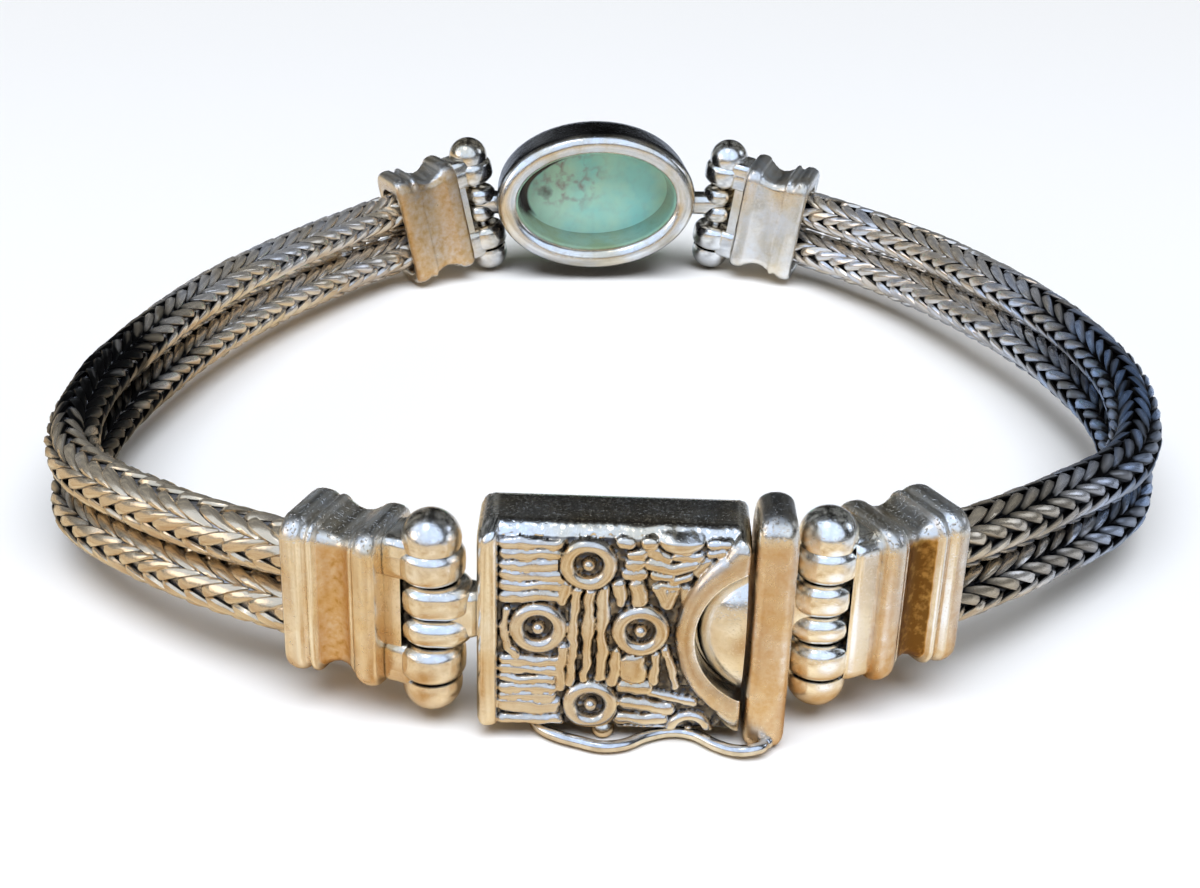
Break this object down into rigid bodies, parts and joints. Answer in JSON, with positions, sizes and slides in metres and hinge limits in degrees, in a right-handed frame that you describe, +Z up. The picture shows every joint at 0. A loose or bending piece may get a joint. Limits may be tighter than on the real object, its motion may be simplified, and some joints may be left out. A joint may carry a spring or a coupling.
{
  "type": "turquoise bracelet",
  "caption": "Oxidised silver bracelet with woven foxtail strands, cast end caps, a box clasp with a safety clip, and a turquoise cabochon in an oval setting.",
  "frame": {"origin": "middle of the floor area that the bracelet covers as it lies on its edge", "axes": "+Z up, square to the wrist's axis plane as it lies; -Y towards the clasp, +Y towards the stone; +X to the right seen from the clasp"},
  "size_m": [0.0688, 0.073, 0.013],
  "materials": {
    "cast_silver": "polished sterling silver with a dark oxidised patina in the recesses",
    "silver_wire": "drawn silver wire, lightly tarnished",
    "chain_silver": "woven silver wire, oxidised nearly black between the links",
    "turquoise": "polished turquoise with a fine brown matrix"
  },
  "bodies": {
    "bracelet": {"clasp_box": "cast_silver", "clasp_tongue": "cast_silver", "cap_front_left": "cast_silver", "cap_front_right": "cast_silver", "cap_back_left": "cast_silver", "cap_back_right": "cast_silver", "pin_front_left": "silver_wire", "pin_front_right": "silver_wire", "pin_back_left": "silver_wire", "pin_back_right": "silver_wire", "strand_upper_left": "chain_silver", "strand_lower_left": "chain_silver", "strand_upper_right": "chain_silver", "strand_lower_right": "chain_silver", "stone_setting": "cast_silver", "turquoise_stone": "turquoise"},
    "press": {"thumb_press": "cast_silver"},
    "clip": {"safety_clip": "silver_wire"}
  },
  "joints": [
    {"name": "press_hinge", "type": "hinge", "parent": "bracelet", "child": "press", "pos_m": [-0.00475, -0.03367, 0.00665], "axis": [0, 0, 1], "range_deg": [0, 3], "stiffness_Nm_per_rad": 0.01},
    {"name": "clip_hinge", "type": "hinge", "parent": "bracelet", "child": "clip", "pos_m": [0.0078, -0.03381, 0.00062], "axis": [0, -1, 0], "range_deg": [0, 100]}
  ]
}
